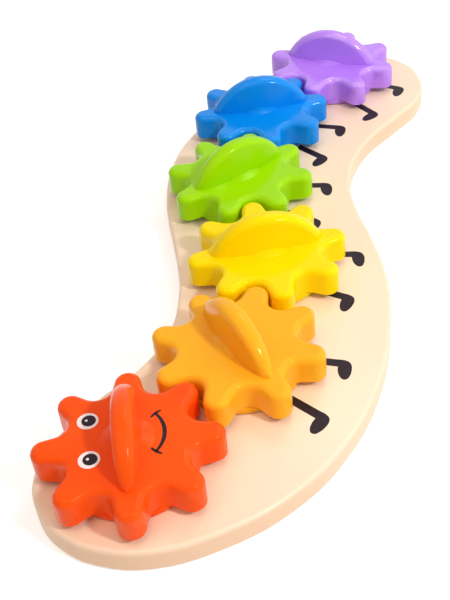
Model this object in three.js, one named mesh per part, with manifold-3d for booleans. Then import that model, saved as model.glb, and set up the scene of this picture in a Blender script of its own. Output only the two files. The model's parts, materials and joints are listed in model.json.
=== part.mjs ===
// A board toy: an S-shaped wooden board carries six plastic gears in mesh, and a child turns any gear by the
// upright fin on its face to turn them all.
// Millimetres, +Z up. The toy lies on z = 0, with the middle of its bounding box over the origin.
// +X runs along the board, from the first gear to the last.
import * as THREE from "three";
import { mergeVertices } from "three/addons/utils/BufferGeometryUtils.js";
import Module from "manifold-3d";

const wasm = await Module();
wasm.setup();

// Gear train
const gearSpacing = 60; // axis to axis, between neighbours
const toothCount = 8;
const addendum = 4.2; // tooth tip beyond the pitch circle
const tipClearance = 1.9; // tooth tip to the next gear's root
const toothTipRoundShare = 0.212; // radius of the arc over a tooth's tip, of the pitch from tooth to tooth
const toothValleyRoundShare = 0.246; // radius of the arc in a valley, of the pitch from tooth to tooth

// Where the gears stand: the direction from each gear to the next, in degrees from +X
const chainDirections = [-21, 6.3, 29.4, 7.5, -22.1];
// Direction of the first gear's fin, then for each later gear how many teeth its fin is turned past the
// tooth that meshes, and how far the gear leans in its play
const firstFinDirection = 23.4;
const finToothSteps = [2, -1, 0, 1, 1];
const playAngles = [1.4, -2.2, 1.4, -2.2, 0];

// Gear body
const gearLift = 3.2; // underside of the teeth above the board
const gearHeight = 12;
const gearEdgeRadius = 2.8;
const gearWall = 2.4;
const gearTopThickness = 2.6;
const screwBossWall = 2.4;

// Fin grip: a disc on edge, thinner towards its rim and its ends, of which only the part above the gear's
// face is left
const finHeight = 15.8; // above the gear's face
const finEndReach = 0.4; // beyond the tooth roots
const finFootThickness = 11;
const finRimThickness = 7.5;
const finCrestHeight = 2.8; // of the rounding over the rim
const finCrestPower = 2.3; // of the rounding, no unit: 2 gives an ellipse, more is squarer
const finEndNarrowingShare = 0.25; // of its thickness, lost at its ends

// Low domed boss round the fin's foot
const domeRadius = 9.3;
const domeHeight = 2.5;

// Base disc, with the journal that turns in the board
const discReach = 0.4; // beyond the tooth roots
const discEdge = 0.8;
const spigotHeight = 1.5;
const spigotClearance = 0.5;
const journalRadius = 4.5;

// Bush pressed into the board
const journalClearance = 0.1;
const bushWall = 1.5;
const bushSeatClearance = 0.2;
const flangeWidth = 2.3; // beyond the bush's sleeve
const flangeThickness = 1.2;

// Washer and screw, let into the board's underside
const washerThickness = 1;
const washerOverlap = 3; // beyond the bush's bore
const screwRadius = 2;
const screwLength = 18;
const screwTip = 2.4;
const screwClearance = 0.3;
const threadClearance = 0.1;
const pilotEndClearance = 0.6; // of the pilot hole beyond the screw's tip
const headRadius = 4;
const headHeight = 2.4;
const headEdge = 0.8;
const headRecess = 0.4; // above the surface that the board lies on
const driveLength = 4.4;
const driveWidth = 1.1;
const driveDepth = 1.3;
const counterboreMargin = 1; // beyond the bush's flange

// Board
const boardThickness = 10.5;
const boardEdgeRadius = 2;
const boardEdgeSteps = 80;

// How finely round forms are cut into flats
const roundSegments = 24;
const smallRoundSegments = 16;
const finSegments = 32;
const roundingSteps = 2; // of each rounded edge
const toothArcSteps = 4;
const finCrestSteps = 3; // on each side of the crest's middle

const turningGap = 0.3; // between what turns and what stands still
const overrun = 1; // of a cutter beyond the face that it cuts
const weldDistance = 1e-3;

// Board edge, from the head end along the near side, round the tail and back: places from the first gear's
// axis, as shares of the gear spacing
const boardEdgeShares = [
  [-0.6, -0.02],
  [-0.54, -0.31],
  [-0.3, -0.67],
  [0.08, -0.99],
  [0.53, -1.18],
  [1.1, -1.255],
  [1.64, -1.2],
  [2.12, -1.07],
  [2.5, -0.885],
  [2.9, -0.66],
  [3.2, -0.545],
  [3.55, -0.515],
  [3.87, -0.565],
  [4.24, -0.71],
  [4.63, -0.835],
  [4.98, -0.775],
  [5.23, -0.59],
  [5.33, -0.3],
  [5.27, 0.07],
  [5.1, 0.39],
  [4.8, 0.6],
  [4.43, 0.71],
  [4.05, 0.85],
  [3.65, 0.96],
  [3.15, 0.965],
  [2.6, 0.81],
  [2.29, 0.652],
  [1.91, 0.455],
  [1.55, 0.305],
  [1.15, 0.235],
  [0.77, 0.305],
  [0.45, 0.455],
  [0.12, 0.56],
  [-0.2, 0.565],
  [-0.44, 0.42],
  [-0.57, 0.2],
];

const toyColours = {
  red: 0xf4502a,
  orange: 0xfcaa30,
  yellow: 0xfcd800,
  green: 0x9cd800,
  blue: 0x0086e0,
  purple: 0xac78f0,
};
const woodColour = 0xf6dcba;
const bushColour = 0xe8e6e0;
const steelColour = 0xb8babd;
const toyRoughness = 0.3;
const woodRoughness = 0.6;
const bushRoughness = 0.5;
const steelRoughness = 0.35;

// Sizes that follow from the ones above
const pitchRadius = gearSpacing / 2;
const tipRadius = pitchRadius + addendum;
const rootRadius = pitchRadius - addendum - tipClearance;
const toothTurn = (2 * Math.PI) / toothCount;
const toothPitch = pitchRadius * toothTurn;
const toothTipRound = toothPitch * toothTipRoundShare;
const toothValleyRound = toothPitch * toothValleyRoundShare;

const bushBoreRadius = journalRadius + journalClearance;
const bushRadius = bushBoreRadius + bushWall;
const flangeRadius = bushRadius + flangeWidth;
const washerRadius = bushBoreRadius + washerOverlap;
const throughRadius = screwRadius + screwClearance;

const headTop = headRecess + headHeight;
const washerTop = headTop + washerThickness;
const flangeBottom = washerTop + turningGap;
const flangeTop = flangeBottom + flangeThickness;
const discBottom = boardThickness + turningGap;
const gearBottom = boardThickness + gearLift;
const gearTop = gearBottom + gearHeight;
const ceiling = gearTop - gearTopThickness;
const bossBottom = gearBottom + spigotHeight;
const discRadius = rootRadius + discReach;
const spigotRadius = rootRadius - gearWall - spigotClearance;

const finHalfLength = rootRadius + finEndReach;
const finRadius = (finHalfLength ** 2 + finHeight ** 2) / (2 * finHeight);

function radians(degrees) {
  return THREE.MathUtils.degToRad(degrees);
}

// A closed geometry as a solid that can be joined and cut.
function solidOf(geometry) {
  const bare = geometry.clone();
  bare.deleteAttribute("normal");
  bare.deleteAttribute("uv");
  const merged = mergeVertices(bare, weldDistance);
  return new wasm.Manifold(
    new wasm.Mesh({
      numProp: 3,
      vertProperties: merged.attributes.position.array,
      triVerts: new Uint32Array(merged.index.array),
    }),
  );
}

function geometryOf(solid) {
  const mesh = solid.getMesh();
  const geometry = new THREE.BufferGeometry();
  geometry.setAttribute("position", new THREE.BufferAttribute(mesh.vertProperties, 3));
  geometry.setIndex(new THREE.BufferAttribute(mesh.triVerts, 1));
  geometry.computeVertexNormals();
  return geometry;
}

// A profile of [radius, height] pairs, turned about the Z axis. It runs counter-clockwise with the radius
// to the right and the height up, and starts and ends on the axis or at the same point.
function turned(profile, segments) {
  const points = profile.map(([radius, height]) => new THREE.Vector2(radius, height));
  return new THREE.LatheGeometry(points, segments).rotateX(Math.PI / 2);
}

// A closed solid through layers of { z, points }, from the lowest up, each with as many points.
function stacked(layers) {
  const count = layers[0].points.length;
  const positions = layers.flatMap(({ z, points }) => points.flatMap((point) => [point.x, point.y, z]));
  const indices = [];
  for (let layer = 0; layer + 1 < layers.length; layer++) {
    for (let i = 0; i < count; i++) {
      const low = layer * count + i;
      const lowNext = layer * count + ((i + 1) % count);
      indices.push(low, lowNext, lowNext + count, low, lowNext + count, low + count);
    }
  }
  const lidStart = (layers.length - 1) * count;
  for (const [a, b, c] of THREE.ShapeUtils.triangulateShape(layers[0].points, [])) {
    indices.push(c, b, a);
  }
  for (const [a, b, c] of THREE.ShapeUtils.triangulateShape(layers.at(-1).points, [])) {
    indices.push(lidStart + a, lidStart + b, lidStart + c);
  }
  const geometry = new THREE.BufferGeometry();
  geometry.setAttribute("position", new THREE.Float32BufferAttribute(positions, 3));
  geometry.setIndex(indices);
  return geometry;
}

// A counter-clockwise outline moved inwards, square to its edges.
function inset(points, distance) {
  return points.map((point, i) => {
    const before = points.at(i - 1);
    const after = points[(i + 1) % points.length];
    const edgeIn = new THREE.Vector2().subVectors(point, before).normalize();
    const edgeOut = new THREE.Vector2().subVectors(after, point).normalize();
    const inward = new THREE.Vector2(-edgeIn.y - edgeOut.y, edgeIn.x + edgeOut.x).normalize();
    const reach = distance / (edgeIn.x * inward.y - edgeIn.y * inward.x);
    return point.clone().addScaledVector(inward, reach);
  });
}

// The layers of a rounded edge, from the wall up to the face at z, as insets of the outline.
function roundedTop(points, z, radius) {
  const layers = [];
  for (let step = 0; step <= roundingSteps; step++) {
    const angle = (step / roundingSteps) * (Math.PI / 2);
    layers.push({
      z: z - radius * (1 - Math.sin(angle)),
      points: inset(points, radius * (1 - Math.cos(angle))),
    });
  }
  return layers;
}

// Points along an arc, both ends included. The angles run counter-clockwise or clockwise as given.
function arcPoints(centre, radius, startAngle, endAngle, steps) {
  const points = [];
  for (let step = 0; step <= steps; step++) {
    const angle = startAngle + ((endAngle - startAngle) * step) / steps;
    points.push(new THREE.Vector2(Math.cos(angle), Math.sin(angle)).multiplyScalar(radius).add(centre));
  }
  return points;
}

// The tooth form: an arc over each tip and an arc in each valley, joined by the line that touches both.
function gearOutline() {
  const tipCentre = new THREE.Vector2(tipRadius - toothTipRound, 0);
  const valleyCentre = new THREE.Vector2(rootRadius + toothValleyRound, 0);
  valleyCentre.rotateAround(new THREE.Vector2(0, 0), toothTurn / 2);
  const step = new THREE.Vector2().subVectors(valleyCentre, tipCentre);
  const lean = step.angle() - Math.acos((toothTipRound + toothValleyRound) / step.length());
  const valleyStart = Math.PI + lean;
  const valleyEnd = Math.PI + toothTurn - lean;
  const tooth = [
    ...arcPoints(tipCentre, toothTipRound, -lean, lean, toothArcSteps),
    ...arcPoints(valleyCentre, toothValleyRound, valleyStart, valleyEnd, toothArcSteps),
  ];
  const points = [];
  for (let i = 0; i < toothCount; i++) {
    for (const point of tooth) {
      points.push(point.clone().rotateAround(new THREE.Vector2(0, 0), i * toothTurn));
    }
  }
  return points;
}

function boardOutline() {
  const points = boardEdgeShares.map(
    ([x, y]) => new THREE.Vector3(x * gearSpacing, y * gearSpacing, 0),
  );
  const edge = new THREE.CatmullRomCurve3(points, true);
  const spaced = edge.getSpacedPoints(boardEdgeSteps).slice(0, boardEdgeSteps);
  return spaced.map((point) => new THREE.Vector2(point.x, point.y));
}

// Gear axes, starting from the first at the zero of the layout.
function gearCentres() {
  const centres = [new THREE.Vector2(0, 0)];
  for (const direction of chainDirections) {
    const angle = radians(direction);
    const step = new THREE.Vector2(Math.cos(angle), Math.sin(angle)).multiplyScalar(gearSpacing);
    centres.push(centres.at(-1).clone().add(step));
  }
  return centres;
}

// Fin directions. A tooth of each gear has to meet a valley of the gear before it.
function finDirections() {
  const directions = [radians(firstFinDirection)];
  chainDirections.forEach((direction, i) => {
    const meshed = toothTurn / 2 + 2 * radians(direction) - directions[i] + radians(playAngles[i]);
    directions.push(meshed + finToothSteps[i] * toothTurn);
  });
  return directions;
}

// The board, with a stepped hole for each gear's bush, its flange, washer and screw head.
function boardGeometry(centres) {
  const outline = boardOutline();
  const top = roundedTop(outline, boardThickness, boardEdgeRadius);
  const bottom = roundedTop(outline, boardThickness, boardEdgeRadius)
    .map(({ z, points }) => ({ z: boardThickness - z, points }))
    .reverse();
  let board = solidOf(stacked([...bottom, ...top]));
  const counterboreRadius = flangeRadius + counterboreMargin;
  const holeRadius = bushRadius + bushSeatClearance;
  for (const centre of centres) {
    const profile = [
      [0, -overrun],
      [counterboreRadius, -overrun],
      [counterboreRadius, flangeTop],
      [holeRadius, flangeTop],
      [holeRadius, boardThickness + overrun],
      [0, boardThickness + overrun],
    ];
    const hole = turned(profile, roundSegments).translate(centre.x, centre.y, 0);
    board = board.subtract(solidOf(hole));
  }
  return geometryOf(board);
}

function bushGeometry() {
  const profile = [
    [bushBoreRadius, flangeBottom],
    [flangeRadius, flangeBottom],
    [flangeRadius, flangeTop],
    [bushRadius, flangeTop],
    [bushRadius, boardThickness],
    [bushBoreRadius, boardThickness],
    [bushBoreRadius, flangeBottom],
  ];
  return turned(profile, roundSegments);
}

// The disc that the gear stands on. Its journal reaches down through the bush to the washer, and its
// spigot centres it in the hollow gear.
function discGeometry() {
  const profile = [
    [throughRadius, washerTop],
    [journalRadius, washerTop],
    [journalRadius, discBottom],
    [discRadius - discEdge, discBottom],
    [discRadius, discBottom + discEdge],
    [discRadius, gearBottom],
    [spigotRadius, gearBottom],
    [spigotRadius, bossBottom],
    [throughRadius, bossBottom],
    [throughRadius, washerTop],
  ];
  return turned(profile, roundSegments);
}

// The side of the fin's disc, from the foot to the rim, as [distance from the middle, half thickness] pairs.
function finSide() {
  const footHalf = finFootThickness / 2;
  const rimHalf = finRimThickness / 2;
  const side = [
    [0, footHalf],
    [finRadius - finHeight, footHalf],
  ];
  for (let step = 0; step < finCrestSteps; step++) {
    const angle = (step / finCrestSteps) * (Math.PI / 2);
    const distance = finRadius - finCrestHeight * (1 - Math.sin(angle) ** (2 / finCrestPower));
    const rise = (distance - finRadius + finHeight) / finHeight;
    const flank = footHalf + (rimHalf - footHalf) * rise;
    side.push([distance, flank * Math.cos(angle) ** (2 / finCrestPower)]);
  }
  return side;
}

// The fin's disc on edge, standing across Y, narrowed towards its ends and cut off inside the gear's top
// plate.
function finSolid() {
  const side = finSide();
  const profile = [
    ...side.map(([distance, half]) => [distance, -half]),
    [finRadius, 0],
    ...side.toReversed(),
  ];
  const disc = turned(profile, finSegments).rotateX(Math.PI / 2);
  const position = disc.attributes.position;
  for (let i = 0; i < position.count; i++) {
    const narrowing = finEndNarrowingShare * (position.getX(i) / finHalfLength) ** 2;
    position.setY(i, position.getY(i) * (1 - narrowing));
  }
  disc.translate(0, 0, gearTop + finHeight - finRadius);
  const keptBottom = gearTop - gearTopThickness / 2;
  const keptHeight = finHeight + gearTopThickness;
  const kept = new THREE.BoxGeometry(2 * finRadius, 2 * finRadius, keptHeight);
  return solidOf(disc).intersect(solidOf(kept.translate(0, 0, keptBottom + keptHeight / 2)));
}

// A low cap of a sphere that rises through the gear's face.
function domeSolid() {
  const sphereRadius = (domeRadius ** 2 + domeHeight ** 2) / (2 * domeHeight);
  const halfAngle = Math.asin(domeRadius / sphereRadius);
  const profile = [
    [0, gearTop - gearTopThickness / 2],
    [domeRadius, gearTop - gearTopThickness / 2],
  ];
  for (let step = 0; step < roundingSteps + 1; step++) {
    const angle = halfAngle * (1 - step / (roundingSteps + 1));
    const height = gearTop + domeHeight - sphereRadius * (1 - Math.cos(angle));
    profile.push([sphereRadius * Math.sin(angle), height]);
  }
  profile.push([0, gearTop + domeHeight]);
  return solidOf(turned(profile, roundSegments));
}

// An upright round bar between two heights.
function barSolid(radius, bottom, top) {
  const profile = [
    [0, bottom],
    [radius, bottom],
    [radius, top],
    [0, top],
  ];
  return solidOf(turned(profile, smallRoundSegments));
}

// The hollow gear, open below: toothed shell, fin, dome, and inside it the boss that takes the screw.
function gearGeometry() {
  const outline = gearOutline();
  const body = solidOf(
    stacked([{ z: gearBottom, points: outline }, ...roundedTop(outline, gearTop, gearEdgeRadius)]),
  );
  const hollowOutline = inset(outline, gearWall);
  const hollow = solidOf(
    stacked([
      { z: gearBottom - overrun, points: hollowOutline },
      { z: ceiling, points: hollowOutline },
    ]),
  );
  const pilotRadius = screwRadius + threadClearance;
  const pilotTop = headTop + screwLength + pilotEndClearance;
  const boss = barSolid(pilotRadius + screwBossWall, bossBottom, gearTop - gearTopThickness / 2);
  const pilot = barSolid(pilotRadius, bossBottom - overrun, pilotTop);
  const gear = body.subtract(hollow).add(boss).add(domeSolid()).add(finSolid()).subtract(pilot);
  return geometryOf(gear);
}

function washerGeometry() {
  const profile = [
    [throughRadius, headTop],
    [washerRadius, headTop],
    [washerRadius, washerTop],
    [throughRadius, washerTop],
    [throughRadius, headTop],
  ];
  return turned(profile, roundSegments);
}

// A pan-head screw driven up from below, with a cross recess.
function screwGeometry() {
  const tipZ = headTop + screwLength;
  const profile = [
    [0, headRecess],
    [headRadius - headEdge, headRecess],
    [headRadius, headRecess + headEdge],
    [headRadius, headTop],
    [screwRadius, headTop],
    [screwRadius, tipZ - screwTip],
    [0, tipZ],
  ];
  let screw = solidOf(turned(profile, smallRoundSegments));
  const barDepth = driveDepth + overrun;
  const barZ = headRecess + driveDepth - barDepth / 2;
  for (const [length, width] of [
    [driveLength, driveWidth],
    [driveWidth, driveLength],
  ]) {
    const bar = new THREE.BoxGeometry(length, width, barDepth);
    screw = screw.subtract(solidOf(bar.translate(0, 0, barZ)));
  }
  return geometryOf(screw);
}

function finish(color, roughness, metalness) {
  return new THREE.MeshStandardMaterial({ color, roughness, metalness });
}

function named(name, geometry, material) {
  const mesh = new THREE.Mesh(geometry, material);
  mesh.name = name;
  return mesh;
}

const centres = gearCentres();
const fins = finDirections();
const wood = finish(woodColour, woodRoughness, 0);
const bushPlastic = finish(bushColour, bushRoughness, 0);
const steel = finish(steelColour, steelRoughness, 1);

const toy = new THREE.Group();
toy.add(named("board", boardGeometry(centres), wood));

Object.entries(toyColours).forEach(([name, colour], i) => {
  const bush = named(name + "_bush", bushGeometry(), bushPlastic);
  bush.position.set(centres[i].x, centres[i].y, 0);
  toy.add(bush);

  const gear = new THREE.Group();
  gear.position.set(centres[i].x, centres[i].y, 0);
  gear.rotation.z = fins[i];
  const plastic = finish(colour, toyRoughness, 0);
  gear.add(named(name + "_gear", gearGeometry(), plastic));
  gear.add(named(name + "_base_disc", discGeometry(), plastic));
  gear.add(named(name + "_washer", washerGeometry(), steel));
  gear.add(named(name + "_screw", screwGeometry(), steel));
  toy.add(gear);
});

// The middle of the toy's bounding box goes over the origin.
const middle = new THREE.Box3().setFromObject(toy, true).getCenter(new THREE.Vector3());
toy.position.set(-middle.x, -middle.y, 0);

const part = new THREE.Group();
part.add(toy);

export default part;
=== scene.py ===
import json
from math import acos, atan2, cos, degrees, pi, radians, sin

import bmesh
import bpy
from mathutils import Matrix, Quaternion, Vector


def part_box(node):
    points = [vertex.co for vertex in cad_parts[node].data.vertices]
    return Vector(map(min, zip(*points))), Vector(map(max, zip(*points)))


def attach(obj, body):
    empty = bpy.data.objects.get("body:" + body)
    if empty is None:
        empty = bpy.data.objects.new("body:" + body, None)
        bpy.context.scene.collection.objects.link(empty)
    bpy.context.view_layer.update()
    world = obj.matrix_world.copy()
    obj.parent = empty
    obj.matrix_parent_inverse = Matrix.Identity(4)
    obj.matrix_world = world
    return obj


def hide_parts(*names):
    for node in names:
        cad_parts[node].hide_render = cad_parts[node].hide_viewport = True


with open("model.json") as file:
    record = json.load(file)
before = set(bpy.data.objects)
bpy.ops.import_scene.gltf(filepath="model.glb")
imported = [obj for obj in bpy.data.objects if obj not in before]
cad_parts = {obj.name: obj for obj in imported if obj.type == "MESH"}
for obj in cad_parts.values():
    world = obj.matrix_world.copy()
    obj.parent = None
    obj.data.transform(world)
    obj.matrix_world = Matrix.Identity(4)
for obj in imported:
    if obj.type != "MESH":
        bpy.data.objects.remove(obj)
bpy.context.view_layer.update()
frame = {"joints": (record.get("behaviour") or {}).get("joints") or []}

mm = 0.001
scene = bpy.context.scene
gearNames = ["red", "orange", "yellow", "green", "blue", "purple"]
axes = {joint["child"].removesuffix("_gear_set"): Vector(joint["pos_m"]) / mm for joint in frame["joints"]}
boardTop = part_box("board")[1].z / mm
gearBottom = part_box("red_gear")[0].z / mm
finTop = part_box("red_gear")[1].z / mm
mergeWithin = 0.0001
levelWithin = 0.001


# Camera
view = {
    "aim": (-48.5, 3.0, 10.5),
    "azimuth": -67.5,  # 0 looks along +Y
    "elevation": 40.41,
    "distance": 418.6,
    "roll": -6.03,
    "lens": 59.9,
    "sensor": 36,
    "shift": (-0.01, 0.0033),
    "clip": (0.01, 20),  # metres
}


def makeCamera():
    azimuth, elevation = radians(view["azimuth"]), radians(view["elevation"])
    back = Vector((sin(azimuth) * cos(elevation), -cos(azimuth) * cos(elevation), sin(elevation)))
    camera = bpy.data.objects.new("camera", bpy.data.cameras.new("camera"))
    scene.collection.objects.link(camera)
    camera.location = (Vector(view["aim"]) + back * view["distance"]) * mm
    camera.rotation_mode = "QUATERNION"
    roll = Quaternion((0, 0, 1), radians(view["roll"]))
    camera.rotation_quaternion = (-back).to_track_quat("-Z", "Y") @ roll
    camera.data.sensor_width = view["sensor"]
    camera.data.lens = view["lens"]
    camera.data.shift_x, camera.data.shift_y = view["shift"]
    camera.data.clip_start, camera.data.clip_end = view["clip"]
    scene.camera = camera


# Nodes
def nodeMaterial(name):
    material = bpy.data.materials.new(name)
    material.use_nodes = True
    material.node_tree.nodes.clear()
    return material, material.node_tree


def addNode(tree, kind, values=None, **settings):
    node = tree.nodes.new(kind)
    for name, value in settings.items():
        setattr(node, name, value)
    for name, value in (values or {}).items():
        node.inputs[name].default_value = value
    return node


def principled(tree, **values):
    shader = addNode(tree, "ShaderNodeBsdfPrincipled", values)
    output = addNode(tree, "ShaderNodeOutputMaterial")
    tree.links.new(shader.outputs["BSDF"], output.inputs["Surface"])
    return shader


def newGroup(name, inputs, outputs):
    group = bpy.data.node_groups.new(name, "ShaderNodeTree")
    for socketName, kind in inputs:
        group.interface.new_socket(socketName, in_out="INPUT", socket_type=kind)
    for socketName, kind in outputs:
        group.interface.new_socket(socketName, in_out="OUTPUT", socket_type=kind)
    return group, addNode(group, "NodeGroupInput"), addNode(group, "NodeGroupOutput")


def placeGroup(tree, group, values):
    node = addNode(tree, "ShaderNodeGroup", node_tree=group)
    for name, value in values.items():
        node.inputs[name].default_value = value
    return node


# Slow change of tone over a surface, with a finer change of gloss and a very fine orange peel.
# The tone moves between two colours, and the height is in metres.
def makeMottleGroup():
    group, given, made = newGroup(
        "mottle",
        [
            ("Colour A", "NodeSocketColor"),
            ("Colour B", "NodeSocketColor"),
            ("Patch Scale", "NodeSocketFloat"),
            ("Roughness", "NodeSocketFloat"),
            ("Roughness Spread", "NodeSocketFloat"),
            ("Peel Scale", "NodeSocketFloat"),
            ("Peel Depth", "NodeSocketFloat"),
        ],
        [("Colour", "NodeSocketColor"), ("Roughness", "NodeSocketFloat"), ("Height", "NodeSocketFloat")],
    )
    link = group.links.new
    place = addNode(group, "ShaderNodeTexCoord")
    patches = addNode(group, "ShaderNodeTexNoise", {"Detail": 2.0, "Roughness": 0.5})
    link(place.outputs["Object"], patches.inputs["Vector"])
    link(given.outputs["Patch Scale"], patches.inputs["Scale"])
    tone = addNode(group, "ShaderNodeMapRange", {"From Min": 0.3, "From Max": 0.7})
    link(patches.outputs["Fac"], tone.inputs["Value"])
    mix = addNode(group, "ShaderNodeMix", data_type="RGBA")
    link(tone.outputs["Result"], mix.inputs[0])
    link(given.outputs["Colour A"], mix.inputs[6])
    link(given.outputs["Colour B"], mix.inputs[7])
    link(mix.outputs[2], made.inputs["Colour"])

    peel = addNode(group, "ShaderNodeTexNoise", {"Detail": 3.0, "Roughness": 0.6})
    link(place.outputs["Object"], peel.inputs["Vector"])
    link(given.outputs["Peel Scale"], peel.inputs["Scale"])
    centred = addNode(group, "ShaderNodeMath", {1: 0.5}, operation="SUBTRACT")
    link(patches.outputs["Fac"], centred.inputs[0])
    spread = addNode(group, "ShaderNodeMath", operation="MULTIPLY_ADD")
    link(centred.outputs["Value"], spread.inputs[0])
    link(given.outputs["Roughness Spread"], spread.inputs[1])
    link(given.outputs["Roughness"], spread.inputs[2])
    link(spread.outputs["Value"], made.inputs["Roughness"])
    height = addNode(group, "ShaderNodeMath", operation="MULTIPLY")
    link(peel.outputs["Fac"], height.inputs[0])
    link(given.outputs["Peel Depth"], height.inputs[1])
    link(height.outputs["Value"], made.inputs["Height"])
    return group


mottle = makeMottleGroup()


def mottledMaterial(name, finish, **shaderValues):
    material, tree = nodeMaterial(name)
    link = tree.links.new
    shader = principled(tree, **shaderValues)
    surface = placeGroup(tree, mottle, {
        "Colour A": (*finish["colour"], 1),
        "Colour B": (*finish["patch"], 1),
        "Patch Scale": finish["patchScale"],
        "Roughness": finish["roughness"],
        "Roughness Spread": finish["roughnessSpread"],
        "Peel Scale": finish["peelScale"],
        "Peel Depth": finish["peelDepth"],
    })
    bump = addNode(tree, "ShaderNodeBump", {"Strength": 1.0, "Distance": 1.0})
    link(surface.outputs["Colour"], shader.inputs["Base Color"])
    link(surface.outputs["Roughness"], shader.inputs["Roughness"])
    link(surface.outputs["Height"], bump.inputs["Height"])
    link(bump.outputs["Normal"], shader.inputs["Normal"])
    return material


# Meshes
def applyModifiers(obj):
    bpy.context.view_layer.update()
    evaluated = obj.evaluated_get(bpy.context.evaluated_depsgraph_get())
    mesh = bpy.data.meshes.new_from_object(evaluated)
    obj.modifiers.clear()
    old = obj.data
    obj.data = mesh
    bpy.data.meshes.remove(old)
    return mesh


def finishedMesh(bm, name):
    bmesh.ops.remove_doubles(bm, verts=bm.verts, dist=mergeWithin)
    bmesh.ops.recalc_face_normals(bm, faces=bm.faces)
    bmesh.ops.scale(bm, vec=(mm, mm, mm), verts=bm.verts)
    mesh = bpy.data.meshes.new(name)
    bm.to_mesh(mesh)
    bm.free()
    return mesh


# Flat caps are shaded flat, so that a narrow bevel doesn't bend the light on them.
def smoothShading(mesh, sharpFrom=35, flatCaps=False):
    levelNormal = 0.9999
    for face in mesh.polygons:
        face.use_smooth = not (flatCaps and abs(face.normal.z) > levelNormal)
    mesh.set_sharp_from_angle(angle=radians(sharpFrom))


def addPiece(name, mesh, material, body, replaced=None):
    mesh.name = name
    mesh.materials.clear()
    mesh.materials.append(material)
    piece = bpy.data.objects.new(name, mesh)
    scene.collection.objects.link(piece)
    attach(piece, body)
    if replaced:
        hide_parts(replaced)
    return piece


def closeHoles(bm):
    bmesh.ops.holes_fill(bm, edges=bm.edges[:], sides=0)


# Lifts faces off their place, with walls round them
def raiseFaces(bm, faces, height):
    raised = bmesh.ops.extrude_face_region(bm, geom=faces)["geom"]
    top = [part for part in raised if isinstance(part, bmesh.types.BMVert)]
    bmesh.ops.translate(bm, vec=(0, 0, height), verts=top)


# Rounds the edges that lie at one level
def roundRim(bm, level, width, segments):
    rim = [edge for edge in bm.edges if all(abs(vert.co.z - level) < levelWithin for vert in edge.verts)]
    bmesh.ops.bevel(
        bm, geom=rim, offset=width, offset_type="OFFSET", segments=segments, profile=0.5,
        affect="EDGES", clamp_overlap=False, material=-1,
    )


# Puts one bmesh into another, by way of a mesh that is used up
def joinInto(bm, fresh):
    mesh = bpy.data.meshes.new("part")
    fresh.to_mesh(mesh)
    fresh.free()
    bm.from_mesh(mesh)
    bpy.data.meshes.remove(mesh)


# Joins a second mesh to the first, or cuts it out, and leaves only the result.
def combine(mesh, other, operation):
    body = bpy.data.objects.new("body", mesh)
    tool = bpy.data.objects.new("tool", other)
    for obj in (body, tool):
        scene.collection.objects.link(obj)
    step = body.modifiers.new("combine", "BOOLEAN")
    step.operation, step.solver, step.object = operation, "EXACT", tool
    step.use_self = True
    result = applyModifiers(body)
    bpy.data.objects.remove(body)
    bpy.data.objects.remove(tool)
    bpy.data.meshes.remove(other)
    return result


# A closed profile of (radius, height) turned about the upright axis. Points on the axis close its ends.
def turnProfile(bm, profile, steps=96):
    verts = [bm.verts.new((radius, 0, height)) for radius, height in profile]
    edges = [bm.edges.new(pair) for pair in zip(verts, verts[1:])]
    if profile[0][0] > 0:
        edges.append(bm.edges.new((verts[-1], verts[0])))
    bmesh.ops.spin(
        bm, geom=verts + edges, cent=(0, 0, 0), axis=(0, 0, 1), dvec=(0, 0, 0),
        angle=2 * pi, steps=steps, use_merge=True,
    )
    bmesh.ops.remove_doubles(bm, verts=bm.verts, dist=mergeWithin)


# The points of an arc about a centre in a plane, from one angle to another
def arc(centre, radius, start, end, steps):
    angles = [radians(start + (end - start) * i / steps) for i in range(steps + 1)]
    return [(centre[0] + radius * cos(a), centre[1] + radius * sin(a)) for a in angles]


# Gears
gearShape = {
    "toothCount": 8,
    "tipRadius": 34.2,
    "tipRound": 5.0,
    "rootRadius": 23.9,
    "valleyRound": 5.8,
    "arcSteps": 20,
    "height": 12.0,
    "topEdge": 2.8,
    "topEdgeSteps": 7,
    "bottomEdge": 0.5,
    "bottomEdgeSteps": 3,
    "wall": 2.4,
    "topThickness": 2.6,
    "domeRadius": 9.8,
    "domeHeight": 2.5,
    "domePower": 1.25,
    "domeSteps": 16,
    "domeTurnSteps": 128,
    "domeSunk": 0.02,
    "domeRoot": 0.4,  # share of the top's thickness that it reaches down, as for the fin and the boss
    "bossRoot": 0.6,
    "bossRadius": 4.5,
    "bossTurnSteps": 48,
    "bossLift": 1.5,
    "pilotRadius": 2.1,
    "pilotTop": 21.4,
    "sharpFrom": 25,
}
# The fin's sides lean in from its foot to its rim, and the crest between them is rounded over. Seen from
# above it is widest in its middle and its ends are round.
finShape = {
    "halfLength": 24.3,
    "footHalf": 5.5,
    "rimHalf": 3.75,
    "crestRound": 2.8,
    "crestPower": 2.3,
    "endNarrowing": 0.25,
    "endPower": 10,
    "endLimit": 0.995,
    "root": 0.5,
    "profileSteps": 22,
    "turnSteps": 200,
}
# The first fin's direction, then for each next gear how many teeth on its fin lies from the tooth in
# mesh, and how far the play lets it lean
firstFin = 23.4
finToothSteps = [2, -1, 0, 1, 1]
playAngles = [1.4, -2.2, 1.4, -2.2, 0]
gearTop = gearBottom + gearShape["height"]


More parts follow.
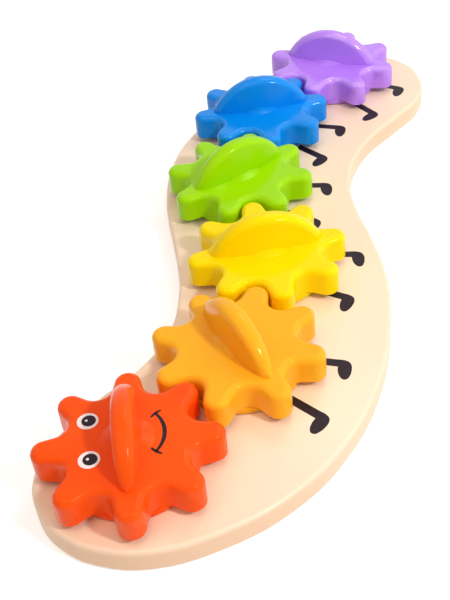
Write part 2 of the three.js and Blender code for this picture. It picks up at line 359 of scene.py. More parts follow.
# The tooth form: an arc over each tip and an arc in each valley, joined by their common tangents
def toothedOutline():
    tipRound, valleyRound, steps = gearShape["tipRound"], gearShape["valleyRound"], gearShape["arcSteps"]
    toothTurn = 360 / gearShape["toothCount"]
    tip = Vector((gearShape["tipRadius"] - tipRound, 0))
    valley = Vector((gearShape["rootRadius"] + valleyRound, 0))
    valley.rotate(Matrix.Rotation(radians(toothTurn / 2), 2))
    step = valley - tip
    lean = degrees(atan2(step.y, step.x) - acos((tipRound + valleyRound) / step.length))
    tooth = arc(tip, tipRound, -lean, lean, steps)
    tooth += arc(valley, valleyRound, 180 + lean, 180 + toothTurn - lean, steps)
    points = []
    for i in range(gearShape["toothCount"]):
        turn = Matrix.Rotation(radians(i * toothTurn), 2)
        points += [turn @ Vector(point) for point in tooth]
    return points


def addToothedShell(bm):
    bm.faces.new([bm.verts.new((point.x, point.y, gearBottom)) for point in toothedOutline()])
    raiseFaces(bm, bm.faces[:], gearShape["height"])
    closeHoles(bm)
    bmesh.ops.recalc_face_normals(bm, faces=bm.faces)
    roundRim(bm, gearTop, gearShape["topEdge"], gearShape["topEdgeSteps"])
    roundRim(bm, gearBottom, gearShape["bottomEdge"], gearShape["bottomEdgeSteps"])
    underside = min(bm.faces, key=lambda face: (face.normal.z, -face.calc_area()))
    inset = gearShape["wall"] - gearShape["bottomEdge"]
    bmesh.ops.inset_region(bm, faces=[underside], thickness=inset, use_even_offset=True, use_boundary=True)
    raiseFaces(bm, [underside], gearShape["height"] - gearShape["topThickness"])
    if underside.is_valid:
        bmesh.ops.delete(bm, geom=[underside], context="FACES_ONLY")


# Half of the fin's profile, from its foot to the rim, as (distance from the disc's middle, half thickness)
def finSide(radius, rise):
    foot, rim, power = finShape["footHalf"], finShape["rimHalf"], finShape["crestPower"]
    side = [(0, foot)]
    for i in range(finShape["profileSteps"] + 1):
        turn = pi / 2 * i / finShape["profileSteps"]
        out = radius - finShape["crestRound"] * (1 - sin(turn) ** (2 / power))
        lean = foot + (rim - foot) * (out - radius + rise) / rise
        side.append((out, lean * cos(turn) ** (2 / power) if i < finShape["profileSteps"] else 0))
    side.insert(1, (radius - rise, foot))
    return side


# A disc on edge, spun about Y, with only the part above the gear's face kept
def addFin(bm):
    rise = finTop - gearTop
    radius = (finShape["halfLength"] ** 2 + rise ** 2) / (2 * rise)
    centre = Vector((0, 0, finTop - radius))
    side = finSide(radius, rise)
    profile = [(out, -half) for out, half in side] + [(out, half) for out, half in reversed(side[:-1])]
    verts = [bm.verts.new((out, across, centre.z)) for out, across in profile]
    edges = [bm.edges.new(pair) for pair in zip(verts, verts[1:])]
    bmesh.ops.spin(
        bm, geom=verts + edges, cent=centre, axis=(0, 1, 0), dvec=(0, 0, 0),
        angle=2 * pi, steps=finShape["turnSteps"], use_merge=True,
    )
    bmesh.ops.remove_doubles(bm, verts=bm.verts, dist=mergeWithin)
    for vert in bm.verts:
        along = min(abs(vert.co.x) / finShape["halfLength"], finShape["endLimit"])
        roundEnd = (1 - along ** finShape["endPower"]) ** 0.5
        vert.co.y *= (1 - finShape["endNarrowing"] * along ** 2) * roundEnd
    keepAbove(bm, gearTop - finShape["root"] * gearShape["topThickness"])


def keepAbove(bm, level):
    bmesh.ops.bisect_plane(
        bm, geom=bm.verts[:] + bm.edges[:] + bm.faces[:], plane_co=(0, 0, level), plane_no=(0, 0, 1),
        clear_inner=True,
    )
    closeHoles(bm)
    bmesh.ops.recalc_face_normals(bm, faces=bm.faces)


# A low dome that flows out level into the gear's face
def addDome(bm):
    low = gearTop - gearShape["domeRoot"] * gearShape["topThickness"]
    foot, steps = gearTop - gearShape["domeSunk"], gearShape["domeSteps"]
    profile = [(0, low), (gearShape["domeRadius"], low)]
    for i in range(steps + 1):
        out = cos(pi / 2 * i / steps)
        rise = gearShape["domeHeight"] * (1 - out ** 2) ** gearShape["domePower"]
        profile.append((gearShape["domeRadius"] * out if i < steps else 0, foot + rise))
    turnProfile(bm, profile, gearShape["domeTurnSteps"])
    bmesh.ops.recalc_face_normals(bm, faces=bm.faces)


# Inside the hollow gear, the boss that takes the screw
def addBoss(bm):
    low = gearBottom + gearShape["bossLift"]
    high = gearTop - gearShape["bossRoot"] * gearShape["topThickness"]
    turnProfile(bm, [
        (0, high),
        (gearShape["bossRadius"], high),
        (gearShape["bossRadius"], low),
        (gearShape["pilotRadius"], low),
        (gearShape["pilotRadius"], gearShape["pilotTop"]),
        (0, gearShape["pilotTop"]),
    ], gearShape["bossTurnSteps"])
    bmesh.ops.recalc_face_normals(bm, faces=bm.faces)


# The shell, the fin, the dome and the boss are joined. Large flat faces weigh most in the shading.
def makeGearMould():
    mould = None
    for addForm in (addToothedShell, addFin, addDome, addBoss):
        bm = bmesh.new()
        addForm(bm)
        form = finishedMesh(bm, "form")
        mould = combine(mould, form, "UNION") if mould else form
    smoothShading(mould, gearShape["sharpFrom"])
    holder = bpy.data.objects.new("gearMould", mould)
    scene.collection.objects.link(holder)
    weighted = holder.modifiers.new("weighted", "WEIGHTED_NORMAL")
    weighted.keep_sharp = True
    mould = applyModifiers(holder)
    bpy.data.objects.remove(holder)
    return mould


# A tooth of each gear meets a valley of the gear before it, so the fins follow from the gears' places.
def finDirections():
    directions = {gearNames[0]: radians(firstFin)}
    toothTurn = 2 * pi / gearShape["toothCount"]
    for before, name, steps, play in zip(gearNames, gearNames[1:], finToothSteps, playAngles):
        step = axes[name] - axes[before]
        meshed = toothTurn / 2 + 2 * atan2(step.y, step.x) - directions[before] + radians(play)
        directions[name] = meshed + steps * toothTurn
    return directions


fins = finDirections()


def atGear(name):
    place = Matrix.Translation((axes[name].x * mm, axes[name].y * mm, 0))
    return place @ Matrix.Rotation(fins[name], 4, "Z")


plasticFinish = {
    "roughness": 0.17,
    "roughnessSpread": 0.06,
    "patchScale": 40,
    "peelScale": 900,
    "peelDepth": 0.000003,
}
# Each plastic's two tones, how far each colour of light strays in it in millimetres, and how strong and how
# white its shine is
plasticColours = {
    "red": ((0.97, 0.088, 0.004), (0.98, 0.103, 0.006), (2.0, 0.5, 0.3), 0.28, 0.2),
    "orange": ((0.98, 0.44, 0.016), (0.99, 0.47, 0.020), (2.0, 0.8, 0.3), 0.25, 0.3),
    "yellow": ((0.98, 0.70, 0.0), (0.99, 0.73, 0.001), (2.0, 1.2, 0.3), 0.25, 0.2),
    "green": ((0.325, 0.68, 0.0), (0.355, 0.71, 0.001), (0.8, 1.5, 0.3), 0.3, 0.3),
    "blue": ((0.0, 0.25, 0.79), (0.001, 0.27, 0.83), (0.3, 0.8, 1.5), 0.4, 0.45),
    "purple": ((0.47, 0.205, 0.90), (0.50, 0.23, 0.93), (1.2, 0.6, 1.5), 1.0, 1.0),
}
plastics = {
    name: mottledMaterial(name + "Plastic", {**plasticFinish, "colour": colour, "patch": patch}, **{
        "IOR": 1.5,
        "Specular IOR Level": shine,
        "Specular Tint": (*(whiteness + (1 - whiteness) * channel for channel in colour), 1),
        "Subsurface Weight": 0.3,
        "Subsurface Radius": tuple(reach * mm for reach in reaches),
        "Subsurface Scale": 1.0,
    })
    for name, (colour, patch, reaches, shine, whiteness) in plasticColours.items()
}


def makeGears():
    mould = makeGearMould()
    for name in gearNames:
        mesh = mould.copy()
        mesh.transform(atGear(name))
        body, slot, node = name + "_gear_set", name + "_plastic", name + "_gear"
        addPiece(name + "_wheel", mesh, plastics[name], body, node)
    print("gears:", len(mould.polygons), "faces each")


# Round parts under the gears
discShape = {
    "radius": 24.3,
    "bushGap": 0.3,
    "edge": 0.8,
    "upperEdge": 0.35,
    "spigotRadius": 21.0,
    "spigotLift": 1.5,
    "spigotEdge": 0.4,
    "journalRadius": 4.5,
    "journalEdge": 0.3,
    "throughRadius": 2.3,
    "turnSteps": 128,
}
bushShape = {"bore": 4.6, "sleeve": 6.1, "flange": 8.4, "flangeThickness": 1.2, "edge": 0.3}
washerShape = {"bore": 2.3, "radius": 7.6, "edge": 0.2}
screwShape = {
    "radius": 2.0,
    "headRadius": 4.0,
    "headEdge": 0.9,
    "headBackEdge": 0.15,
    "headHeight": 2.4,
    "tip": 2.4,
    "driveLength": 4.4,
    "driveWidth": 1.1,
    "driveDepth": 1.3,
    "driveTaper": 0.6,
    "turnSteps": 64,
}


def nodeSpan(node):
    low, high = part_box(node)
    return low.z / mm, high.z / mm


# A profile's square corners are given by (radius, height, edge), and an edge over zero rounds the corner.
def roundedProfile(corners, steps=5):
    points = []
    for i, (radius, height, edge) in enumerate(corners):
        if edge == 0:
            points.append((radius, height))
            continue
        here = Vector((radius, height))
        before = (Vector(corners[i - 1][:2]) - here).normalized()
        after = (Vector(corners[(i + 1) % len(corners)][:2]) - here).normalized()
        start, end = here + before * edge, here + after * edge
        centre = here + (before + after) * edge
        for step in range(steps + 1):
            share = step / steps
            spoke = (start - centre).lerp(end - centre, share).normalized() * edge
            points.append(tuple(centre + spoke))
    return points


def makeDisc(name):
    low, _ = nodeSpan(name + "_base_disc")
    _, bushTop = nodeSpan(name + "_bush")
    under, spigotTop = bushTop + discShape["bushGap"], gearBottom + discShape["spigotLift"]
    bm = bmesh.new()
    turnProfile(bm, roundedProfile([
        (discShape["throughRadius"], low, 0),
        (discShape["journalRadius"], low, discShape["journalEdge"]),
        (discShape["journalRadius"], under, 0),
        (discShape["radius"], under, discShape["edge"]),
        (discShape["radius"], gearBottom, discShape["upperEdge"]),
        (discShape["spigotRadius"], gearBottom, 0),
        (discShape["spigotRadius"], spigotTop, discShape["spigotEdge"]),
        (discShape["throughRadius"], spigotTop, 0),
    ]), discShape["turnSteps"])
    return bm


def makeBush(name):
    low, high = nodeSpan(name + "_bush")
    step, edge = low + bushShape["flangeThickness"], bushShape["edge"]
    bm = bmesh.new()
    turnProfile(bm, roundedProfile([
        (bushShape["bore"], low, edge),
        (bushShape["flange"], low, edge),
        (bushShape["flange"], step, edge),
        (bushShape["sleeve"], step, 0),
        (bushShape["sleeve"], high, edge),
        (bushShape["bore"], high, edge),
    ]))
    return bm


def makeWasher(name):
    low, high = nodeSpan(name + "_washer")
    edge = washerShape["edge"]
    bm = bmesh.new()
    turnProfile(bm, roundedProfile([
        (washerShape["bore"], low, edge),
        (washerShape["radius"], low, edge),
        (washerShape["radius"], high, edge),
        (washerShape["bore"], high, edge),
    ]))
    return bm


def makeScrew(name):
    low, high = nodeSpan(name + "_screw")
    headTop = low + screwShape["headHeight"]
    bm = bmesh.new()
    turnProfile(bm, roundedProfile([
        (0, low, 0),
        (screwShape["headRadius"], low, screwShape["headEdge"]),
        (screwShape["headRadius"], headTop, screwShape["headBackEdge"]),
        (screwShape["radius"], headTop, 0),
        (screwShape["radius"], high - screwShape["tip"], 0),
        (0, high, 0),
    ]), screwShape["turnSteps"])
    return bm


def crossCutter(name):
    low, _ = nodeSpan(name + "_screw")
    long, wide, deep = screwShape["driveLength"], screwShape["driveWidth"], screwShape["driveDepth"]
    taper = screwShape["driveTaper"]
    bm = bmesh.new()
    for size in ((long, wide), (wide, long)):
        bar = bmesh.ops.create_cube(bm, size=1)["verts"]
        bmesh.ops.scale(bm, vec=(*size, 2 * deep), verts=bar)
        foot = [vert for vert in bar if vert.co.z > 0]
        bmesh.ops.scale(bm, vec=(taper, taper, 1), verts=foot)
        bmesh.ops.translate(bm, vec=(0, 0, low), verts=bar)
    return bm


bushMaterial = mottledMaterial("bushPlastic", {
    "colour": (0.80, 0.78, 0.73), "patch": (0.84, 0.82, 0.78), "patchScale": 120,
    "roughness": 0.45, "roughnessSpread": 0.15, "peelScale": 1500, "peelDepth": 0.000006,
}, IOR=1.48)
steelMaterial = mottledMaterial("zincSteel", {
    "colour": (0.56, 0.57, 0.58), "patch": (0.66, 0.66, 0.64), "patchScale": 500,
    "roughness": 0.32, "roughnessSpread": 0.25, "peelScale": 2500, "peelDepth": 0.000006,
}, Metallic=1.0)


def makeRoundParts():
    for name in gearNames:
        body, place = name + "_gear_set", atGear(name)
        parts = [
            ("_foot_disc", makeDisc, plastics[name], body, name + "_plastic", "_base_disc"),
            ("_bearing", makeBush, bushMaterial, "base", "bush_plastic", "_bush"),
            ("_flat_washer", makeWasher, steelMaterial, body, "steel", "_washer"),
            ("_fixing_screw", makeScrew, steelMaterial, body, "steel", "_screw"),
        ]
        for ending, make, material, rides, slot, node in parts:
            mesh = finishedMesh(make(name), name + ending)
            if make is makeScrew:
                mesh = combine(mesh, finishedMesh(crossCutter(name), "cross"), "DIFFERENCE")
            smoothShading(mesh, 40)
            mesh.transform(place)
            addPiece(name + ending, mesh, material, rides, name + node)
    print("discs, bearings, washers and screws: done")


# Board
boardShape = {
    "edgeRadius": 2.0,
    "edgeSteps": 8,
    "curveSteps": 14,
    "spacing": 60.0,
    "counterbore": 9.4,
    "counterboreDepth": 5.3,
    "hole": 6.3,
    "holeEdge": 0.4,
    "holeSteps": 72,
    "cutterReach": 1.0,  # how far the tool that cuts the holes stands out of the board
}
# From the head end along the near side, round the tail and back: from the red axis, in gear spacings
boardEdge = [
    (-0.6, -0.02), (-0.54, -0.31), (-0.3, -0.67), (0.08, -0.99), (0.53, -1.18), (1.1, -1.255),
    (1.64, -1.2), (2.12, -1.07), (2.5, -0.885), (2.9, -0.66), (3.2, -0.545), (3.55, -0.515),
    (3.87, -0.565), (4.24, -0.71), (4.63, -0.835), (4.98, -0.775), (5.23, -0.59), (5.33, -0.3),
    (5.27, 0.07), (5.1, 0.39), (4.8, 0.6), (4.43, 0.71), (4.05, 0.85), (3.65, 0.96),
    (3.15, 0.965), (2.6, 0.81), (2.29, 0.652), (1.91, 0.455), (1.55, 0.305), (1.15, 0.235),
    (0.77, 0.305), (0.45, 0.455), (0.12, 0.56), (-0.2, 0.565), (-0.44, 0.42), (-0.57, 0.2),
]


# A flat closed curve through points, filled, as a mesh in millimetres
def flatCurveMesh(points, steps, square=()):
    curve = bpy.data.curves.new("outline", "CURVE")
    curve.dimensions = "2D"
    curve.fill_mode = "NONE"
    curve.resolution_u = steps
    spline = curve.splines.new("BEZIER")
    spline.bezier_points.add(len(points) - 1)
    spline.use_cyclic_u = True
    for i, (knot, (x, y)) in enumerate(zip(spline.bezier_points, points)):
        knot.co = (x, y, 0)
        knot.handle_left_type = knot.handle_right_type = "VECTOR" if i in square else "AUTO"
    holder = bpy.data.objects.new("outline", curve)
    scene.collection.objects.link(holder)
    bpy.context.view_layer.update()
    mesh = bpy.data.meshes.new_from_object(holder.evaluated_get(bpy.context.evaluated_depsgraph_get()))
    bpy.data.objects.remove(holder)
    bpy.data.curves.remove(curve)
    return mesh


# An outline's mesh as a closed slab between two heights
def addSlab(bm, outline, low, high):
    fresh = bmesh.new()
    fresh.from_mesh(outline)
    bpy.data.meshes.remove(outline)
    bmesh.ops.translate(fresh, vec=(0, 0, low), verts=fresh.verts)
    bmesh.ops.contextual_create(fresh, geom=fresh.edges[:])
    raiseFaces(fresh, fresh.faces[:], high - low)
    closeHoles(fresh)
    bmesh.ops.recalc_face_normals(fresh, faces=fresh.faces)
    joinInto(bm, fresh)


# The bore for the bush and the counterbore for the washer, as one tool
def addBoreCutter(bm, name):
    fresh = bmesh.new()
    edge, hole, wide = boardShape["holeEdge"], boardShape["hole"], boardShape["counterbore"]
    deep, reach = boardShape["counterboreDepth"], boardShape["cutterReach"]
    turnProfile(fresh, [
        (0, -reach),
        (wide + edge + reach, -reach),
        (wide, edge),
        (wide, deep),
        (hole, deep),
        (hole, boardTop + reach),
        (0, boardTop + reach),
    ], boardShape["holeSteps"])
    bmesh.ops.translate(fresh, vec=(axes[name].x, axes[name].y, 0), verts=fresh.verts)
    joinInto(bm, fresh)


# Fine streaks along the board, over slow patches of cream and pink, and painted shade on its sides: a
# darker, warmer tone
def woodMaterial():
    finish = {
        "cream": (0.93, 0.75, 0.55, 1),
        "pink": (0.92, 0.70, 0.51, 1),
        "streak": (0.86, 0.66, 0.45, 1),
        # painted shade: the sides are made darker and warmer than the top
        "side": (0.95, 0.84, 0.76, 1),
        "streakAmount": 0.35,
        "streakStretch": (4, 160, 60),
        "patchScale": 14,
        "roughness": 0.42,
        "roughnessSpread": 0.15,
        "poreStretch": (40, 900, 900),
        "poreDepth": 0.00001,
        "sideStart": 0.2,
    }
    material, tree = nodeMaterial("paleWood")
    link = tree.links.new
    shader = principled(tree, **{"IOR": 1.45, "Coat Weight": 0.15, "Coat Roughness": 0.25})
    surface = placeGroup(tree, mottle, {
        "Colour A": finish["cream"],
        "Colour B": finish["pink"],
        "Patch Scale": finish["patchScale"],
        "Roughness": finish["roughness"],
        "Roughness Spread": finish["roughnessSpread"],
    })
    place = addNode(tree, "ShaderNodeTexCoord")
    stretch = addNode(tree, "ShaderNodeMapping", {"Scale": finish["streakStretch"]})
    streaks = addNode(tree, "ShaderNodeTexNoise", {
        "Scale": 1.0, "Detail": 6.0, "Roughness": 0.6, "Distortion": 0.4,
    })
    link(place.outputs["Object"], stretch.inputs["Vector"])
    link(stretch.outputs["Vector"], streaks.inputs["Vector"])
    grain = addNode(tree, "ShaderNodeMapRange", {
        "From Min": 0.5, "From Max": 0.75, "To Max": finish["streakAmount"],
    })
    link(streaks.outputs["Fac"], grain.inputs["Value"])
    mix = addNode(tree, "ShaderNodeMix", {7: finish["streak"]}, data_type="RGBA")
    link(grain.outputs["Result"], mix.inputs[0])
    link(surface.outputs["Colour"], mix.inputs[6])

    middle = boardTop / 2 * mm  # the sides are told from the top by how far a point is from this level
    parts = addNode(tree, "ShaderNodeSeparateXYZ")
    fromMiddle = addNode(tree, "ShaderNodeMath", {1: middle}, operation="SUBTRACT")
    distance = addNode(tree, "ShaderNodeMath", operation="ABSOLUTE")
    side = addNode(tree, "ShaderNodeMapRange", {
        "From Min": middle - finish["sideStart"] * mm,
        "From Max": middle - boardShape["edgeRadius"] * mm,
        "To Max": 1.0,
    })
    # Painted shade: the sides are multiplied by the side tone
    paintedSideShade = addNode(tree, "ShaderNodeMix", {7: finish["side"]}, data_type="RGBA", blend_type="MULTIPLY")
    link(place.outputs["Object"], parts.inputs["Vector"])
    link(parts.outputs["Z"], fromMiddle.inputs[0])
    link(fromMiddle.outputs["Value"], distance.inputs[0])
    link(distance.outputs["Value"], side.inputs["Value"])
    link(side.outputs["Result"], paintedSideShade.inputs[0])
    link(mix.outputs[2], paintedSideShade.inputs[6])
    link(paintedSideShade.outputs[2], shader.inputs["Base Color"])
    link(surface.outputs["Roughness"], shader.inputs["Roughness"])

    poreStretch = addNode(tree, "ShaderNodeMapping", {"Scale": finish["poreStretch"]})
    pores = addNode(tree, "ShaderNodeTexNoise", {"Scale": 1.0, "Detail": 3.0})
    link(place.outputs["Object"], poreStretch.inputs["Vector"])
    link(poreStretch.outputs["Vector"], pores.inputs["Vector"])
    bump = addNode(tree, "ShaderNodeBump", {"Strength": 1.0, "Distance": finish["poreDepth"]})
    link(pores.outputs["Fac"], bump.inputs["Height"])
    link(bump.outputs["Normal"], shader.inputs["Normal"])
    return material


def makeBoard():
    spacing, head = boardShape["spacing"], axes[gearNames[0]]
    points = [(head.x + x * spacing, head.y + y * spacing) for x, y in boardEdge]
    bm = bmesh.new()
    addSlab(bm, flatCurveMesh(points, boardShape["curveSteps"]), 0, boardTop)
    for level in (0, boardTop):
        roundRim(bm, level, boardShape["edgeRadius"], boardShape["edgeSteps"])
    slab = finishedMesh(bm, "slab")
    cutter = bmesh.new()
    for name in gearNames:
        addBoreCutter(cutter, name)
    mesh = combine(slab, finishedMesh(cutter, "bores"), "DIFFERENCE")
    smoothShading(mesh, flatCaps=True)
    addPiece("wooden_board", mesh, woodMaterial(), "base", "board")
    print("board:", len(mesh.polygons), "faces")


# Prints. A leg runs out from under its gear to a heel, and the shoe points to the head end.
printShape = {"sunk": 0.03, "proud": 0.04, "overlap": 0.01, "curveSteps": 10}
# A leg's outline in (outwards along the leg, across it towards the toe) from its heel
legOutline = [
    (-17.0, 0.0), (-4.0, 0.0), (0.2, 0.1), (1.9, 1.0), (2.9, 2.9), (3.2, 5.4), (2.9, 8.2),
    (1.9, 10.2), (0.5, 10.4), (-0.9, 9.1), (-1.9, 6.9), (-2.3, 5.0), (-2.4, 3.9), (-17.0, 3.8),
]
squareLegCorners = (0, 12, 13)  # by their place in the outline: the other points are curved through
# Each leg: the heel's direction and distance from the gear's axis, and the direction that the leg runs in
legs = {
    "orange": [(-69, 41.1, -85), (-111, 41.4, -113)],
    "yellow": [(-56, 40.8, -77), (-100, 38.5, -100)],
    "green": [(-62, 41.3, -77), (-104, 41.8, -106)],
    "blue": [(-72, 40.9, -87), (-114, 42.2, -117)],
    "purple": [(-86, 38.4, -100), (-130, 41.3, -126)],
}
inkFinish = {
    "patchScale": 300, "roughness": 0.40, "roughnessSpread": 0.2, "peelScale": 1800, "peelDepth": 0.000004,
}
inkMaterial = mottledMaterial("printInk", {
    **inkFinish, "colour": (0.014, 0.007, 0.012), "patch": (0.022, 0.012, 0.018),
}, **{"IOR": 1.45, "Specular IOR Level": 0.2})
whiteInkMaterial = mottledMaterial("whiteInk", {
    **inkFinish, "colour": (0.90, 0.84, 0.82), "patch": (0.93, 0.88, 0.86),
}, IOR=1.45)


def makeLegs():
    low, high = boardTop - printShape["sunk"], boardTop + printShape["proud"]
    for name, pair in legs.items():
        bm = bmesh.new()
        for heelDirection, heelDistance, legDirection in pair:
            outwards = Vector((cos(radians(legDirection)), sin(radians(legDirection))))
            toe = Vector((outwards.y, -outwards.x))
            turn = radians(heelDirection)
            heel = axes[name].xy + heelDistance * Vector((cos(turn), sin(turn)))
            points = [heel + along * outwards + across * toe for along, across in legOutline]
            addSlab(bm, flatCurveMesh(points, printShape["curveSteps"], squareLegCorners), low, high)
        mesh = finishedMesh(bm, name + "_leg_prints")
        smoothShading(mesh, flatCaps=True)
        addPiece(name + "_leg_prints", mesh, inkMaterial, "base")
    print("leg prints:", 2 * len(legs))


# The face on the first gear, in the gear's own frame with its fin along X: the eyes lie on one side of the
# fin and the mouth on the other
faceShape = {
    "eyes": [(10.3, 13.9), (-7.7, 13.0)],
    "whiteRadius": 3.85,
    "pupilRadius": 2.6,
    "pupilShift": (0.1, -0.35),
    "glintRadius": 0.55,
    "glintShift": (0.3, 0.5),
    "mouthCentre": (1.6, 0.75),
    "mouthRadius": 13.9,
    "mouthFrom": -130,
    "mouthTo": -51,
    "mouthWidth": 1.5,
    "mouthSteps": 40,
    "tickLength": 4.9,
    "tickWidth": 1.1,
    "tickSteps": 12,
    "tickBend": 1.6,  # the radius that a tick is bent to, in lengths of a tick
    "strokeEnds": 0.6,  # a stroke's width at its ends, as a share of its width in the middle
    "dotSteps": 64,
}


def addDot(bm, place, radius, low, high):
    fresh = bmesh.new()
    spot = Matrix.Translation((*place, low))
    steps = faceShape["dotSteps"]
    bmesh.ops.create_circle(fresh, cap_ends=True, radius=radius, segments=steps, matrix=spot)
    raiseFaces(fresh, fresh.faces[:], high - low)
    closeHoles(fresh)
    bmesh.ops.recalc_face_normals(fresh, faces=fresh.faces)
    joinInto(bm, fresh)


# A stroke along an arc, as wide as asked in its middle and drawn in at its ends
def addStroke(bm, centre, radius, start, end, width, low, high, steps):
    fresh = bmesh.new()
    first = [fresh.verts.new((centre[0] + radius + side * width / 2, centre[1], low)) for side in (-1, 1)]
    edge = fresh.edges.new(first)
    middle = Vector((*centre, low))
    bmesh.ops.spin(
        fresh, geom=first + [edge], cent=middle, axis=(0, 0, 1), dvec=(0, 0, 0),
        angle=radians(end - start), steps=steps, use_merge=False,
    )
    bmesh.ops.rotate(fresh, cent=middle, matrix=Matrix.Rotation(radians(start), 3, "Z"), verts=fresh.verts)
    endWidth = faceShape["strokeEnds"] * width
    for vert in fresh.verts:
        out = vert.co - middle
        share = (degrees(atan2(out.y, out.x)) - start) / (end - start)
        taper = endWidth + (width - endWidth) * sin(pi * min(max(share, 0), 1))
        side = 1 if out.length > radius else -1
        vert.co = middle + out.normalized() * (radius + side * taper / 2)
    raiseFaces(fresh, fresh.faces[:], high - low)
    closeHoles(fresh)
    bmesh.ops.recalc_face_normals(fresh, faces=fresh.faces)
    joinInto(bm, fresh)


def addMouth(bm, low, high):
    centre, radius = faceShape["mouthCentre"], faceShape["mouthRadius"]
    start, end = faceShape["mouthFrom"], faceShape["mouthTo"]
    addStroke(bm, centre, radius, start, end, faceShape["mouthWidth"], low, high, faceShape["mouthSteps"])
    reach = faceShape["tickBend"] * faceShape["tickLength"]
    half = degrees(faceShape["tickLength"] / 2 / reach)
    for corner, side in ((start, -1), (end, 1)):
        turn = radians(corner)
        spot = Vector((centre[0] + radius * cos(turn), centre[1] + radius * sin(turn)))
        along = Vector((cos(turn), sin(turn)))
        across = Vector((-along.y, along.x)) * side
        middle = degrees(atan2(across.y, across.x))
        addStroke(
            bm, spot - across * reach, reach, middle - half, middle + half, faceShape["tickWidth"],
            low, high, faceShape["tickSteps"],
        )


def makeFace():
    name = gearNames[0]
    low, high = gearTop - printShape["sunk"], gearTop + printShape["proud"]
    lift, overlap = printShape["proud"], printShape["overlap"]
    whites, pupils, glints, mouth = (bmesh.new() for _ in range(4))
    for eye in faceShape["eyes"]:
        middle = Vector(eye)
        pupil, glint = middle + Vector(faceShape["pupilShift"]), middle + Vector(faceShape["glintShift"])
        addDot(whites, middle, faceShape["whiteRadius"], low, high)
        addDot(pupils, pupil, faceShape["pupilRadius"], high - overlap, high + lift)
        addDot(glints, glint, faceShape["glintRadius"], high + lift - overlap, high + 2 * lift)
    addMouth(mouth, low, high)
    prints = [
        ("_eye_whites", whites, whiteInkMaterial),
        ("_pupils", pupils, inkMaterial),
        ("_eye_glints", glints, whiteInkMaterial),
        ("_mouth", mouth, inkMaterial),
    ]
    for ending, bm, material in prints:
        mesh = finishedMesh(bm, name + ending)
        smoothShading(mesh, flatCaps=True)
        mesh.transform(atGear(name))
        addPiece(name + ending, mesh, material, name + "_gear_set")
    print("face: done")


# Floor, light and sky
stageShape = {
    "floorSize": 6000.0,
    "floorDrop": 0.05,
    "floorColour": (0.82, 0.82, 0.82, 1),
    "floorRoughness": 0.9,
    "floorGlow": 0.45,  # near the toy, and from there to 1 where the lamps no longer reach
    "glowFrom": 300.0,
    "glowTo": 1500.0,
    "skyLight": 0.36,
}
# Each lamp: the azimuth from +X and the elevation that it shines from, then its distance, size, level and
# colour. A lamp of level 1 lights a face turned to it as much as a world of strength 1 does.
lamps = {
    "front": (-112, 44, 1100, (100, 100), 0.43, (1, 1, 1)),
    "right": (-68, 30, 800, (800, 800), 0.26, (1, 1, 1)),
    "back": (-10, 60, 700, (260, 260), 0.15, (1, 1, 1)),
    "left": (165, 67, 1200, (900, 900), 0.31, (1, 0.77, 0.62)),
}


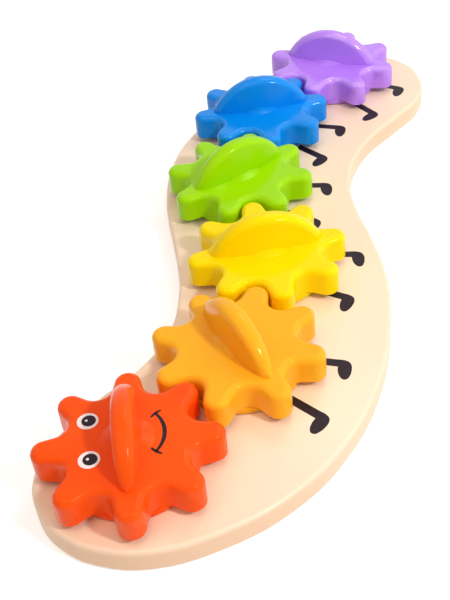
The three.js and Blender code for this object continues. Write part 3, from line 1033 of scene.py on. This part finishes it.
def makeStage():
    bm = bmesh.new()
    bmesh.ops.create_grid(bm, x_segments=1, y_segments=1, size=stageShape["floorSize"] / 2)
    bmesh.ops.translate(bm, vec=(0, 0, -stageShape["floorDrop"]), verts=bm.verts)
    mesh = finishedMesh(bm, "floor")
    floor = bpy.data.objects.new("floor", mesh)
    scene.collection.objects.link(floor)
    material, tree = nodeMaterial("floor")
    link = tree.links.new
    shader = principled(tree, **{
        "Base Color": stageShape["floorColour"],
        "Roughness": stageShape["floorRoughness"],
        "Emission Color": (1, 1, 1, 1),
    })
    rays = addNode(tree, "ShaderNodeLightPath")
    seen = addNode(tree, "ShaderNodeMath", operation="MAXIMUM")
    place = addNode(tree, "ShaderNodeTexCoord")
    distance = addNode(tree, "ShaderNodeVectorMath", operation="LENGTH")
    level = addNode(tree, "ShaderNodeMapRange", {
        "From Min": stageShape["glowFrom"] * mm, "From Max": stageShape["glowTo"] * mm,
        "To Min": stageShape["floorGlow"], "To Max": 1.0,
    })
    glow = addNode(tree, "ShaderNodeMath", operation="MULTIPLY")
    link(place.outputs["Object"], distance.inputs[0])
    link(distance.outputs["Value"], level.inputs["Value"])
    link(rays.outputs["Is Camera Ray"], seen.inputs[0])
    link(rays.outputs["Is Glossy Ray"], seen.inputs[1])
    link(seen.outputs["Value"], glow.inputs[0])
    link(level.outputs["Result"], glow.inputs[1])
    link(glow.outputs["Value"], shader.inputs["Emission Strength"])
    mesh.materials.append(material)


def makeSky():
    world = bpy.data.worlds.new("studio")
    scene.world = world
    world.use_nodes = True
    tree = world.node_tree
    tree.nodes.clear()
    link = tree.links.new
    sky = addNode(tree, "ShaderNodeBackground", {"Color": (1, 1, 1, 1)})
    output = addNode(tree, "ShaderNodeOutputWorld")
    rays = addNode(tree, "ShaderNodeLightPath")
    camera = addNode(tree, "ShaderNodeMath", operation="MAXIMUM")
    seen = addNode(tree, "ShaderNodeMath", operation="MAXIMUM")
    strength = addNode(tree, "ShaderNodeMapRange", {"To Min": stageShape["skyLight"], "To Max": 1.0})
    link(rays.outputs["Is Camera Ray"], camera.inputs[0])
    link(rays.outputs["Is Glossy Ray"], camera.inputs[1])
    link(camera.outputs["Value"], seen.inputs[0])
    link(rays.outputs["Is Transmission Ray"], seen.inputs[1])
    link(seen.outputs["Value"], strength.inputs["Value"])
    link(strength.outputs["Result"], sky.inputs["Strength"])
    link(sky.outputs["Background"], output.inputs["Surface"])


def makeLamps():
    for name, (azimuth, elevation, distance, size, level, colour) in lamps.items():
        light = bpy.data.lights.new(name, "AREA")
        light.shape = "RECTANGLE"
        light.size, light.size_y = size[0] * mm, size[1] * mm
        light.energy = level * (pi * distance * mm) ** 2
        light.color = colour
        lamp = bpy.data.objects.new(name, light)
        scene.collection.objects.link(lamp)
        turn, rise = radians(azimuth), radians(elevation)
        direction = Vector((cos(turn) * cos(rise), sin(turn) * cos(rise), sin(rise)))
        lamp.location = direction * distance * mm
        lamp.rotation_mode = "QUATERNION"
        lamp.rotation_quaternion = (-direction).to_track_quat("-Z", "Y")


makeCamera()
makeStage()
makeSky()
makeLamps()
scene.view_settings.view_transform = "Standard"
print("camera, floor and light: done")
makeGears()
makeRoundParts()
makeBoard()
makeLegs()
makeFace()
